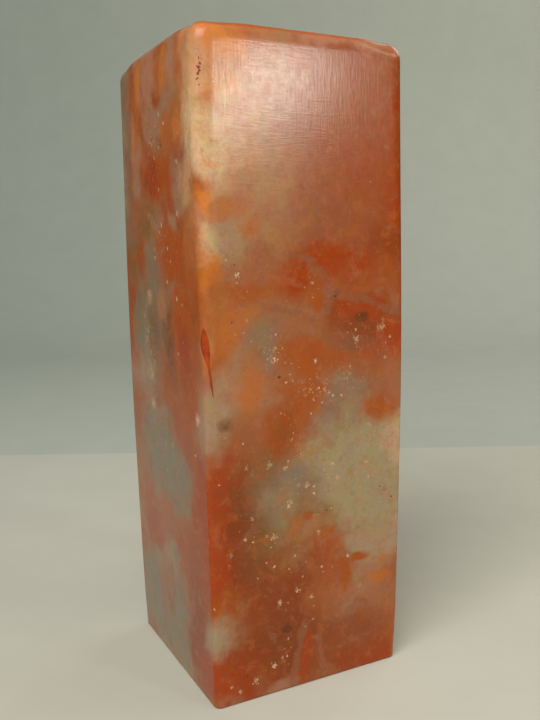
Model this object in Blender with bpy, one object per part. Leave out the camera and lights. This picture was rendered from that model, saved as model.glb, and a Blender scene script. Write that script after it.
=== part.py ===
"""A square seal stone: one block of polished soft stone, blank on its seal face.

It stands on its seal face, with the origin at that face's centre and +Z up. Every cross-section is a
square with round corners. The sections are stacked as rings, so that the block can taper a little towards
its seal face, its sides can bow out as hand lapping leaves them, and its upright edges can grow rounder
towards the worn top corners. The top face is flat, and its rim is roundest at its corners.
"""

import math

import bmesh
import bpy

# Driving dimensions, in metres. The width and the depth are those at mid-height.
STONE_WIDTH = 0.030
STONE_DEPTH = 0.030
STONE_HEIGHT = 0.0865

# From mid-height to the top, each side leans out by the taper, and it leans in as much down to the seal
# face. Its ends also fall back from a straight line by the crown.
SIDE_TAPER = 0.00043
SIDE_CROWN = 0.00022

# Edges: the upright ones are crisp lower down, and worn round at the seal end and most at the top.
UPRIGHT_EDGE_RADIUS = 0.0006
TOP_CORNER_RADIUS = 0.0022
TOP_CORNER_REACH = 0.050
SEAL_CORNER_RADIUS = 0.0010
SEAL_CORNER_REACH = 0.008
TOP_EDGE_RADIUS = 0.0012
SEAL_EDGE_RADIUS = 0.0003

# The top edge starts to grow rounder this share of the way from a side's middle to its corner.
RIM_WEAR_START = 0.6

# How finely the round shapes are divided.
CORNER_STEPS = 6
SIDE_STEPS = 12
BODY_RINGS = 16
TOP_EDGE_STEPS = 6
SEAL_EDGE_STEPS = 3
SHARPEST_CORNER = 0.00002
SMOOTH_BELOW = math.radians(25)

STONE_COLOUR = (0.36, 0.13, 0.055, 1.0)
STONE_ROUGHNESS = 0.32
STONE_METALLIC = 0.0


def ease(share):
    """A smooth rise from 0 to 1 as share goes from 0 to 1."""
    share = min(max(share, 0.0), 1.0)
    return share * share * (3.0 - 2.0 * share)


def upright_radius(height):
    """The radius of the upright edges at a height."""
    top_wear = ease(1.0 - (STONE_HEIGHT - height) / TOP_CORNER_REACH)
    seal_wear = ease(1.0 - height / SEAL_CORNER_REACH)
    top_growth = (TOP_CORNER_RADIUS - UPRIGHT_EDGE_RADIUS) * top_wear
    seal_growth = (SEAL_CORNER_RADIUS - UPRIGHT_EDGE_RADIUS) * seal_wear
    return UPRIGHT_EDGE_RADIUS + top_growth + seal_growth


def half_sides(height):
    """Half the width and half the depth at a height."""
    along = 2.0 * height / STONE_HEIGHT - 1.0
    growth = SIDE_TAPER * along - SIDE_CROWN * along * along
    return STONE_WIDTH / 2 + growth, STONE_DEPTH / 2 + growth


def edge_turn_radius(nearness):
    """The radius of the top edge, which grows to the radius of the worn corners near them."""
    full = upright_radius(STONE_HEIGHT) - SHARPEST_CORNER
    return TOP_EDGE_RADIUS + (full - TOP_EDGE_RADIUS) * nearness


def outline(height, inset_at):
    """The closed outline at a height, as (x, y, nearness to a corner), taken in by inset_at(nearness)."""
    half_width, half_depth = half_sides(height)
    radius = upright_radius(height)
    corner_radius = max(radius - inset_at(1.0), SHARPEST_CORNER)
    across, along = half_width - radius, half_depth - radius
    centres = [(across, along), (-across, along), (-across, -along), (across, -along)]
    points = []
    for quarter, (centre_x, centre_y) in enumerate(centres):
        for step in range(CORNER_STEPS + 1):
            angle = math.pi / 2 * (quarter + step / CORNER_STEPS)
            x = centre_x + corner_radius * math.cos(angle)
            y = centre_y + corner_radius * math.sin(angle)
            points.append((x, y, 1.0))
        next_x, next_y = centres[(quarter + 1) % 4]
        outward_x = math.cos(math.pi / 2 * (quarter + 1))
        outward_y = math.sin(math.pi / 2 * (quarter + 1))
        for step in range(1, SIDE_STEPS):
            share = (1.0 - math.cos(math.pi * step / SIDE_STEPS)) / 2.0
            off_middle = abs(2.0 * share - 1.0)
            nearness = ease((off_middle - RIM_WEAR_START) / (1.0 - RIM_WEAR_START))
            reach = radius - inset_at(nearness)
            x = centre_x + (next_x - centre_x) * share + outward_x * reach
            y = centre_y + (next_y - centre_y) * share + outward_y * reach
            points.append((x, y, nearness))
    return points


def level_ring(height, inset=0.0):
    return [(x, y, height) for x, y, nearness in outline(height, lambda nearness: inset)]


def seal_end_rings():
    """The rings from the seal face up its rounded edge."""
    rings = []
    for step in range(SEAL_EDGE_STEPS + 1):
        angle = math.pi / 2 * step / SEAL_EDGE_STEPS
        height = SEAL_EDGE_RADIUS * (1.0 - math.cos(angle))
        rings.append(level_ring(height, SEAL_EDGE_RADIUS * (1.0 - math.sin(angle))))
    return rings


def body_rings():
    """The rings of the sides, closer together towards both ends, up to where the top corners turn over."""
    top = STONE_HEIGHT - upright_radius(STONE_HEIGHT)
    rings = []
    for step in range(1, BODY_RINGS + 1):
        share = (1.0 - math.cos(math.pi * step / BODY_RINGS)) / 2.0
        rings.append(level_ring(SEAL_EDGE_RADIUS + (top - SEAL_EDGE_RADIUS) * share))
    return rings


def top_edge_rings():
    """The rings over the rounded top edge, the last of them the rim of the flat top face."""
    rings = []
    for step in range(1, TOP_EDGE_STEPS + 1):
        angle = math.pi / 2 * step / TOP_EDGE_STEPS
        points = outline(STONE_HEIGHT, lambda nearness: edge_turn_radius(nearness) * (1.0 - math.cos(angle)))
        ring = []
        for x, y, nearness in points:
            ring.append((x, y, STONE_HEIGHT - edge_turn_radius(nearness) * (1.0 - math.sin(angle))))
        rings.append(ring)
    return rings


def bridge(mesh, lower, upper):
    """Joins two rings, one above the other, with a band of four-sided faces that look outwards."""
    for index, corner in enumerate(lower):
        after = (index + 1) % len(lower)
        mesh.faces.new((corner, lower[after], upper[after], upper[index]))


def stone_mesh():
    rings = seal_end_rings() + body_rings() + top_edge_rings()
    mesh = bmesh.new()
    loops = [[mesh.verts.new(point) for point in ring] for ring in rings]
    for lower, upper in zip(loops, loops[1:]):
        bridge(mesh, lower, upper)
    mesh.faces.new(list(reversed(loops[0])))
    mesh.faces.new(loops[-1])
    data = bpy.data.meshes.new("seal_stone")
    mesh.to_mesh(data)
    mesh.free()
    data.shade_smooth()
    data.set_sharp_from_angle(angle=SMOOTH_BELOW)
    return data


def stone_material():
    material = bpy.data.materials.new("polished_stone")
    material.use_nodes = True
    shader = material.node_tree.nodes["Principled BSDF"]
    shader.inputs["Base Color"].default_value = STONE_COLOUR
    shader.inputs["Roughness"].default_value = STONE_ROUGHNESS
    shader.inputs["Metallic"].default_value = STONE_METALLIC
    return material


def main():
    for old in list(bpy.data.objects):
        bpy.data.objects.remove(old)
    stone = bpy.data.objects.new("seal_stone", stone_mesh())
    stone.data.materials.append(stone_material())
    bpy.context.scene.collection.objects.link(stone)


main()
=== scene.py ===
"""The looks of the seal stone: its fine surface, its mottled mineral colours, the studio and the camera."""

import math
import random

import bmesh
import bpy
from mathutils import Matrix, Vector, noise


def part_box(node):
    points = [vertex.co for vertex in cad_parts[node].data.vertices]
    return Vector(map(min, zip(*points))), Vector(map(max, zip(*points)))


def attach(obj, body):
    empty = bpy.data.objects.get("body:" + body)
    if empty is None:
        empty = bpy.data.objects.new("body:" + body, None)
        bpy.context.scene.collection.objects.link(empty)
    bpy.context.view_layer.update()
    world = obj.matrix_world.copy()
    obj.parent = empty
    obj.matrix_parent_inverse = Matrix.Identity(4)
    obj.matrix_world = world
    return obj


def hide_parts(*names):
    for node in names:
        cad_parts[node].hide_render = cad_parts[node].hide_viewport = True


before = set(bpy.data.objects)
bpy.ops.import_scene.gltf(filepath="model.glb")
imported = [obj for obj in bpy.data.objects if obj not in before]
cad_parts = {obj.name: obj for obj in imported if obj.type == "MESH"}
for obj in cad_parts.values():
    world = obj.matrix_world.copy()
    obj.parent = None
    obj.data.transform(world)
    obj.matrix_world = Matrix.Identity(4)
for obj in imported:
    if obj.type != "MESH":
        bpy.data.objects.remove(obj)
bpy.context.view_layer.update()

MM = 0.001
NODE = "seal_stone"
BODY = "root"

# The block's size comes from the frame. Its taper, crown and edges are the part's own, in metres.
node_low, node_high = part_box(NODE)
HEIGHT = node_high.z - node_low.z
MIDDLE_WIDTH = 30.0 * MM
SIDE_TAPER = 0.43 * MM
SIDE_CROWN = 0.22 * MM
UPRIGHT_EDGE_RADIUS = 0.6 * MM
TOP_CORNER_RADIUS = 2.2 * MM
TOP_CORNER_REACH = 50.0 * MM
SEAL_CORNER_RADIUS = 1.0 * MM
SEAL_CORNER_REACH = 8.0 * MM
TOP_EDGE_RADIUS = 1.2 * MM
SEAL_EDGE_RADIUS = 0.3 * MM
RIM_WEAR_START = 0.6
SHARPEST_CORNER = 0.02 * MM

# How finely the stone's surface is divided.
CORNER_STEPS = 10
SIDE_STEPS = 62
BODY_RINGS = 170
TOP_EDGE_STEPS = 10
SEAL_EDGE_STEPS = 4
END_FACE_RINGS = 26

# Hand lapping and polishing leave the stone this far below the true face, and a faint unevenness below
# that. The harder grains stand up to the true face.
POLISH_DEPTH = 0.012 * MM
LAPPING_DEPTH = 0.010 * MM
LAPPING_LENGTH = 9.0 * MM

# A grain's rim is buried and its middle is proud. Depths are below the true face, and the shares are of
# the grain's radius.
GRAIN_RIM_DEPTH = 0.024 * MM
GRAIN_SHOULDER_DEPTH = 0.008 * MM
GRAIN_SHOULDER_SHARE = 0.82
GRAIN_TOP_DEPTH = 0.005 * MM
GRAIN_ROOT_DEPTH = 0.12 * MM
GRAIN_SIDES = 14
SLIVER_RINGS = ((1.0, GRAIN_RIM_DEPTH), (0.88, GRAIN_SHOULDER_DEPTH), (0.6, GRAIN_TOP_DEPTH),
                (0.3, GRAIN_TOP_DEPTH))
SLIVER_SIDES = 32
GRAIN_WAVES = (3, 4, 5)
GRAIN_RAGGEDNESS = (0.2, 0.9)
GRAIN_SLIMNESS = (0.4, 1.0)

# A fleck wider than this many millimetres is a cluster: a middle grain with smaller ones round it. The
# shares are of the fleck's size.
CLUSTER_FROM = 0.55
CLUSTER_GRAINS = 7
CLUSTER_MIDDLE_SHARE = 0.7
CLUSTER_AWAY_SHARES = (0.3, 0.6)
CLUSTER_GRAIN_SHARES = (0.12, 0.4)

# Dust lies round each listed fleck, within these limits. Sizes and places are in millimetres.
DUST_SPREAD = 1.6
DUST_SIZES = (0.08, 0.20)
DUST_REACH = 13.6
DUST_HEIGHTS = (1.5, 83.0)

# More flecks, mostly small, are scattered over the right side, the back and the top.
SCATTER_SEED = 7
SCATTER_REACH = 12.0
SCATTER_HEIGHTS = (2.0, 83.0)
SCATTER_SMALLEST = 0.15
SCATTER_GROWTH = 0.9
SCATTER_BIAS = 3
SCATTER_TOP_DIVISOR = 6

# Linear colours of the minerals, as they show in plain light. Amber and bright orange are lighter than that:
# they also hold painted glow of light through the front corner, and some painted sheen.
MINERALS = {
    "amber": (0.640, 0.215, 0.045),
    "bright_orange_and_glow": (0.560, 0.160, 0.010),
    "tan_orange": (0.430, 0.120, 0.020),
    "orange": (0.335, 0.068, 0.004),
    "deep_red": (0.325, 0.042, 0.001),
    "red_brown": (0.315, 0.070, 0.016),
    "brick": (0.255, 0.045, 0.005),
    "brown": (0.165, 0.058, 0.014),
    "umber": (0.110, 0.028, 0.002),
    "ochre": (0.250, 0.105, 0.030),
    "vein": (0.260, 0.084, 0.036),
    "pink_grey": (0.315, 0.108, 0.040),
    "tan": (0.380, 0.175, 0.075),
    "peach": (0.530, 0.225, 0.095),
    "rose": (0.430, 0.185, 0.100),
    "deep_orange": (0.400, 0.075, 0.003),
    "cream": (0.640, 0.420, 0.240),
    "pale_pink": (0.550, 0.285, 0.135),
    "lavender": (0.355, 0.175, 0.098),
    "grey": (0.240, 0.138, 0.078),
    "olive": (0.315, 0.240, 0.130),
    "pale_grey": (0.335, 0.219, 0.125),
    "blue_grey": (0.205, 0.165, 0.108),
}

# Clouds on the front face, in millimetres and degrees: mineral, x, height, half width, half height, lean
# and strength. Later ones lie over earlier ones, and a lean of more than 0 drops the right end.
FRONT_CLOUDS = [
    ("red_brown", 4.0, 70.0, 20.0, 24.0, 0, 1.0),
    ("deep_red", 16.0, 70.0, 4.0, 16.0, 0, 0.8),
    ("deep_red", 15.4, 72.0, 1.7, 17.0, 0, 0.9),
    ("pink_grey", -3.0, 66.0, 6.0, 10.0, 0, 0.6),
    ("tan", -8.6, 69.0, 6.0, 9.0, -14, 0.9),
    ("tan", -8.0, 60.0, 6.5, 6.0, 0, 0.9),
    ("peach", -10.6, 73.6, 4.4, 6.0, 16, 0.5),
    # The cream, amber and bright orange rows near the front upright edge (x below -12) are partly the stone's
    # own colour and partly painted glow of light coming through the corner.
    ("cream", -14.0, 73.8, 3.6, 6.6, 8, 0.7),
    ("peach", -8.0, 82.0, 6.0, 6.0, 0, 0.4),
    ("amber", -13.8, 83.4, 5.4, 6.0, 0, 0.8),
    ("cream", -14.4, 61.8, 2.4, 3.8, 0, 0.9),
    ("pale_grey", -10.6, 60.0, 3.6, 3.0, 0, 0.8),
    ("amber", -14.8, 67.2, 1.4, 2.6, 0, 0.7),
    ("tan_orange", -12.0, 64.4, 3.2, 1.6, -12, 0.8),
    ("tan_orange", -8.2, 62.0, 1.3, 1.3, 0, 0.7),
    ("vein", 2.0, 63.0, 8.0, 3.0, 0, 0.5),
    ("brick", 11.4, 60.0, 2.8, 2.6, 0, 0.8),
    # Partly the stone's own colour and partly painted glow of light coming through the corner.
    ("bright_orange_and_glow", -13.8, 56.4, 2.0, 3.0, 0, 0.9),
    ("tan_orange", -12.0, 51.6, 5.0, 5.4, 0, 0.9),
    ("peach", -14.6, 50.4, 1.2, 4.6, 0, 0.7),
    ("pink_grey", -6.4, 57.2, 4.8, 3.4, 0, 1.0),
    ("pink_grey", -12.2, 54.0, 2.2, 1.8, 0, 0.5),
    ("orange", -7.0, 54.6, 4.6, 1.2, 4, 0.8),
    ("pink_grey", 0.0, 50.4, 8.0, 3.6, 6, 1.0),
    ("deep_red", 4.2, 58.4, 6.0, 2.0, 14, 1.0),
    ("red_brown", 10.0, 56.6, 6.0, 2.0, 6, 0.8),
    ("deep_red", -1.8, 56.2, 2.8, 3.6, 0, 1.0),
    ("orange", 1.2, 53.0, 2.0, 1.8, 0, 1.0),
    ("brick", 8.6, 49.6, 5.6, 3.6, 0, 1.0),
    ("deep_red", 8.0, 51.8, 4.0, 1.8, 10, 1.0),
    ("deep_red", 13.8, 47.6, 3.0, 3.6, 0, 1.0),
    ("vein", 5.4, 46.6, 5.0, 1.6, 8, 0.8),
    ("orange", -0.4, 45.8, 5.6, 2.2, 8, 1.0),
    ("orange", 6.4, 44.6, 5.0, 1.8, 0, 0.8),
    ("red_brown", 11.0, 43.4, 5.0, 3.0, 0, 0.6),
    ("pink_grey", 14.0, 41.0, 3.0, 3.6, 0, 0.7),
    ("grey", -7.4, 47.2, 2.9, 4.2, 12, 1.0),
    ("tan_orange", -8.6, 42.0, 2.4, 4.4, 0, 0.9),
    ("pink_grey", -4.8, 41.4, 3.6, 3.6, 0, 0.3),
    ("orange", -4.4, 42.2, 1.8, 2.4, 0, 0.6),
    ("pale_grey", -14.0, 39.6, 3.4, 4.4, 0, 1.0),
    ("pink_grey", -8.4, 36.0, 5.0, 2.8, 0, 0.9),
    ("grey", 5.0, 38.8, 5.6, 4.6, -12, 1.0),
    ("orange", -0.6, 40.4, 2.6, 4.4, 30, 1.0),
    ("orange", -4.0, 35.4, 3.6, 3.8, 24, 1.0),
    ("olive", 8.0, 31.0, 10.0, 6.4, -8, 1.0),
    ("olive", 10.0, 24.6, 7.6, 5.6, 0, 1.0),
    ("orange", 11.6, 38.0, 3.2, 2.0, 12, 1.0),
    ("pale_grey", 14.6, 33.6, 2.4, 4.2, 0, 1.0),
    ("cream", 13.8, 33.4, 1.8, 3.4, 0, 0.35),
    ("cream", 14.4, 19.4, 1.6, 3.0, 0, 0.35),
    ("brick", -10.8, 23.0, 5.4, 12.0, 0, 1.0),
    ("deep_red", -14.2, 23.4, 2.8, 11.6, 0, 1.0),
    ("deep_red", -12.0, 18.6, 3.4, 4.6, 0, 0.9),
    ("ochre", -7.4, 31.6, 2.2, 3.4, 0, 0.6),
    ("grey", -3.6, 28.2, 4.4, 4.4, -8, 1.0),
    ("blue_grey", -2.0, 30.4, 2.6, 1.6, 0, 0.7),
    ("ochre", -6.6, 19.4, 2.8, 5.4, 0, 0.8),
    ("ochre", -1.2, 22.8, 4.6, 3.8, 0, 1.0),
    ("olive", -5.4, 25.4, 2.6, 3.2, 0, 0.7),
    ("tan", 0.4, 22.4, 2.4, 2.0, 0, 0.6),
    ("orange", 1.4, 19.6, 2.8, 2.8, 0, 0.9),
    ("brick", -3.6, 13.0, 7.4, 6.4, 0, 1.0),
    ("red_brown", 2.4, 14.0, 3.6, 4.6, 0, 0.9),
    ("pale_grey", 11.4, 18.8, 5.4, 3.6, 0, 0.9),
    ("lavender", 8.6, 11.0, 4.8, 4.0, -16, 0.7),
    ("tan_orange", 2.0, 12.4, 2.4, 3.2, 0, 0.3),
    ("pink_grey", 13.0, 10.2, 4.0, 4.6, 0, 0.8),
    ("orange", -12.6, 13.4, 3.4, 2.0, 0, 1.0),
    ("pale_grey", -14.0, 9.4, 4.2, 2.8, 0, 1.0),
    ("brick", -5.0, 5.6, 7.0, 5.0, 0, 1.0),
    ("deep_red", -12.0, 3.6, 4.4, 3.8, 0, 1.0),
    ("red_brown", 9.0, 4.0, 8.0, 4.4, 0, 1.0),
    ("deep_red", 9.6, 1.4, 6.4, 2.2, -6, 0.9),
    ("tan_orange", 15.0, 4.0, 2.0, 4.0, 0, 0.7),
    # A rose band along the top edge: painted light, the lighter tone that the upturned rounding shows under
    # the fill light.
    ("rose", 3.0, 86.0, 10.0, 1.3, 0, 0.9),
    # These umber clouds, mostly low on the face, are partly dark mottling and partly painted shade: they
    # darken the lower part of the front face, where less light falls from above.
    ("umber", -9.4, 22.6, 3.2, 8.0, 0, 0.40),
    ("umber", -2.6, 13.4, 5.6, 5.0, 0, 0.15),
    ("umber", 0.6, 5.2, 12.0, 5.6, 0, 0.30),
    ("umber", -5.0, 33.6, 2.2, 5.0, 24, 0.25),
    ("umber", 8.6, 49.8, 5.0, 3.4, 0, 0.10),
    ("umber", -5.2, 25.0, 2.0, 3.0, 0, 0.25),
]

# Smaller marks, which drift less and have a firmer edge. The number before the strength is the softness.
FRONT_MARKS = [
    ("tan_orange", -13.8, 77.6, 0.8, 0.7, 0, 1.0, 0.4),
    ("amber", -13.0, 69.6, 1.0, 0.5, 0, 1.0, 0.4),
    ("amber", -14.4, 65.6, 0.5, 2.2, -14, 1.0, 0.6),
    ("brick", 12.2, 60.0, 1.1, 1.4, 0, 0.9, 0.6),
    ("orange", 12.2, 57.0, 0.8, 2.0, 0, 1.0, 0.6),
    ("umber", 8.0, 50.4, 1.1, 0.6, 0, 0.9, 0.8),
    ("umber", 4.1, 53.9, 0.6, 0.4, 0, 1.0, 0.6),
    ("umber", -12.2, 38.0, 1.1, 0.9, 0, 0.9, 0.6),
    ("orange", 5.5, 15.0, 0.9, 3.0, -8, 0.8, 1.0),
    ("orange", 7.6, 16.9, 1.7, 0.6, 6, 0.8, 1.0),
    ("tan_orange", 11.4, 13.2, 1.9, 1.0, 6, 0.9, 1.0),
    ("tan_orange", 11.6, 15.8, 1.4, 0.7, 0, 1.0, 0.6),
    ("orange", -0.4, 24.2, 0.9, 0.6, 0, 0.8, 0.8),
    ("tan_orange", -2.6, 22.8, 1.0, 1.6, 20, 1.0, 0.5),
    ("umber", -4.0, 8.9, 0.7, 0.5, 0, 0.8, 0.9),
    ("deep_red", -0.9, 3.6, 0.9, 4.4, 6, 0.9, 0.9),
    ("lavender", -4.6, 0.6, 2.2, 1.0, -8, 1.0, 0.7),
]

# Veins: mineral, half width, strength and the places that they run through.
FRONT_VEINS = [
    ("vein", 0.50, 0.7, [(-3.6, 59.0), (-0.4, 58.5), (1.6, 56.6), (3.2, 54.0)]),
    ("vein", 0.55, 0.7, [(3.0, 53.8), (7.0, 53.3), (10.8, 52.0), (14.8, 50.9)]),
    ("vein", 0.45, 0.6, [(3.4, 53.6), (2.6, 51.8), (0.4, 50.6), (-3.6, 52.1), (-7.2, 52.9)]),
    ("vein", 0.60, 0.8, [(-1.0, 9.1), (-2.1, 5.0), (-3.2, 0.0)]),
    ("vein", 0.50, 0.8, [(1.1, 7.4), (1.6, 4.0), (2.2, 0.0)]),
    ("vein", 0.40, 0.6, [(5.9, 9.0), (7.4, 10.6), (9.0, 9.8), (9.4, 8.2)]),
]

# The same on the left face, with y in the place of x.
LEFT_CLOUDS = [
    ("grey", 13.4, 73.0, 5.0, 19.0, 0, 1.0),
    ("orange", 5.4, 82.2, 4.0, 5.4, 0, 1.0),
    ("tan_orange", 5.4, 82.6, 2.6, 3.6, 0, 0.8),
    ("amber", 5.2, 82.6, 1.6, 2.8, 0, 0.5),
    ("rose", 0.4, 81.8, 3.2, 5.4, 0, 1.0),
    ("tan_orange", -4.6, 83.4, 2.8, 3.6, 0, 1.0),
    ("amber", -5.0, 83.0, 1.4, 2.8, 0, 0.5),
    ("rose", -8.0, 82.0, 1.8, 4.6, 0, 1.0),
    ("tan_orange", -10.2, 82.0, 1.0, 4.6, 0, 1.0),
    ("peach", -13.4, 80.4, 3.0, 5.8, 0, 1.0),
    ("cream", -13.6, 79.6, 2.0, 3.6, 0, 0.4),
    ("lavender", 6.6, 85.6, 1.2, 1.4, 0, 0.8),
    ("tan_orange", 6.6, 76.4, 2.2, 3.4, 0, 0.9),
    ("rose", 6.0, 71.6, 2.8, 3.0, 0, 0.9),
    ("peach", 8.0, 75.4, 1.0, 2.8, 0, 0.5),
    ("olive", 13.6, 72.0, 2.4, 7.0, 0, 0.6),
    ("lavender", -0.6, 75.6, 2.8, 3.6, 0, 1.0),
    ("lavender", -5.4, 78.0, 2.4, 2.2, 12, 0.9),
    ("orange", -1.6, 79.6, 1.6, 1.3, 14, 1.0),
    ("tan_orange", -5.6, 74.2, 2.8, 2.8, 0, 0.9),
    ("tan_orange", -9.0, 75.0, 2.0, 2.4, 0, 1.0),
    ("amber", -9.2, 74.4, 1.4, 1.8, 0, 0.5),
    ("cream", -13.6, 72.8, 2.6, 5.0, 0, 1.0),
    ("lavender", -9.8, 67.6, 3.4, 3.4, 20, 1.0),
    ("pale_pink", -11.6, 68.2, 2.0, 2.8, 0, 0.8),
    ("orange", -14.4, 67.4, 1.2, 2.0, 0, 0.9),
    ("pink_grey", 8.0, 65.6, 3.6, 4.6, 0, 0.9),
    ("deep_orange", -0.2, 68.8, 6.0, 3.4, 6, 1.0),
    ("deep_red", 1.2, 69.0, 3.8, 2.4, 0, 0.8),
    ("ochre", 3.4, 63.6, 3.4, 3.0, 0, 1.0),
    ("deep_orange", -5.0, 59.8, 5.8, 4.4, 0, 1.0),
    ("tan_orange", -12.6, 60.0, 2.6, 5.0, 0, 0.9),
    ("ochre", 10.8, 58.6, 4.0, 3.0, 0, 1.0),
    ("orange", 6.8, 58.8, 2.6, 2.2, 0, 0.9),
    ("grey", 3.6, 49.0, 5.4, 8.4, 0, 1.0),
    ("blue_grey", 2.0, 57.2, 2.2, 3.6, 0, 0.7),
    ("olive", 5.0, 46.6, 2.8, 5.0, 0, 0.6),
    ("tan", -0.6, 53.0, 1.6, 2.8, -30, 0.9),
    ("lavender", -5.2, 53.6, 2.0, 1.6, 0, 0.9),
    ("blue_grey", 8.6, 50.0, 2.2, 4.4, 0, 0.9),
    ("brown", -4.0, 46.8, 1.8, 5.0, 0, 0.9),
    ("deep_orange", -9.2, 47.4, 4.4, 8.8, 0, 1.0),
    ("deep_red", -9.0, 45.6, 2.6, 4.4, 0, 0.9),
    ("umber", 3.0, 47.4, 2.4, 4.0, 0, 0.4),
    ("orange", -9.6, 42.4, 2.6, 4.6, 0, 0.9),
    ("orange", -13.2, 51.4, 2.2, 6.0, 0, 0.8),
    ("orange", 12.8, 49.6, 1.8, 9.0, 0, 0.9),
    ("lavender", 11.4, 40.6, 2.4, 2.4, 0, 0.9),
    ("pink_grey", 11.8, 33.0, 3.2, 5.8, 0, 1.0),
    ("red_brown", 12.4, 34.6, 1.6, 3.6, 0, 0.6),
    ("pale_grey", -14.0, 38.8, 1.8, 4.8, 0, 1.0),
    ("blue_grey", 2.4, 31.0, 7.4, 6.0, 0, 1.0),
    ("blue_grey", -5.6, 28.0, 4.4, 4.4, 0, 0.9),
    ("ochre", -2.5, 36.4, 1.4, 1.4, 0, 1.0),
    ("red_brown", -9.2, 34.2, 2.4, 3.6, 0, 1.0),
    ("deep_red", -12.9, 23.6, 3.0, 10.0, 0, 1.0),
    ("red_brown", 7.2, 19.6, 5.6, 4.8, 0, 1.0),
    ("pink_grey", 0.8, 22.0, 3.6, 3.2, -20, 0.9),
    ("red_brown", -6.8, 18.6, 4.0, 4.6, 30, 0.9),
    ("blue_grey", 6.4, 7.4, 9.0, 6.8, 0, 1.0),
    ("blue_grey", -2.4, 7.0, 4.0, 7.0, 0, 0.9),
    ("pink_grey", 3.0, 10.4, 2.6, 4.6, 0, 0.6),
    ("brick", -9.2, 8.6, 3.2, 10.0, 0, 1.0),
    ("blue_grey", -1.8, 17.0, 1.4, 1.8, 0, 0.9),
    ("pale_grey", -14.0, 9.2, 2.4, 2.6, 0, 1.0),
    ("deep_red", -13.0, 3.2, 2.6, 3.2, 0, 0.9),
]

LEFT_MARKS = [
    ("lavender", 7.6, 69.0, 1.6, 2.2, 0, 1.0, 1.0),
    ("orange", 8.6, 85.4, 0.7, 0.7, 0, 0.9, 0.8),
    ("lavender", -6.4, 63.4, 1.9, 0.8, 28, 0.9, 1.0),
    ("deep_red", -9.0, 45.2, 1.8, 3.4, 0, 1.0, 0.9),
    ("brown", 3.4, 69.0, 1.0, 0.7, 0, 1.0, 0.5),
    ("brown", -1.4, 48.6, 0.8, 2.0, 0, 1.0, 0.5),
    ("cream", 4.0, 53.4, 1.2, 1.0, 0, 1.0, 0.3),
    ("cream", 5.3, 42.4, 1.2, 0.9, 0, 1.0, 0.4),
    ("cream", 4.6, 38.1, 0.8, 0.7, 0, 1.0, 0.4),
    ("cream", -12.4, 38.6, 0.6, 0.8, 0, 1.0, 0.6),
    ("brown", 1.4, 8.4, 1.0, 1.6, 0, 1.0, 0.4),
]

LEFT_VEINS = [
    ("lavender", 0.60, 0.6, [(3.0, 64.6), (0.0, 63.0), (-2.4, 63.8)]),
    ("vein", 0.60, 0.5, [(0.4, 15.0), (-0.2, 11.0), (0.4, 7.0)]),
]

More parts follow.
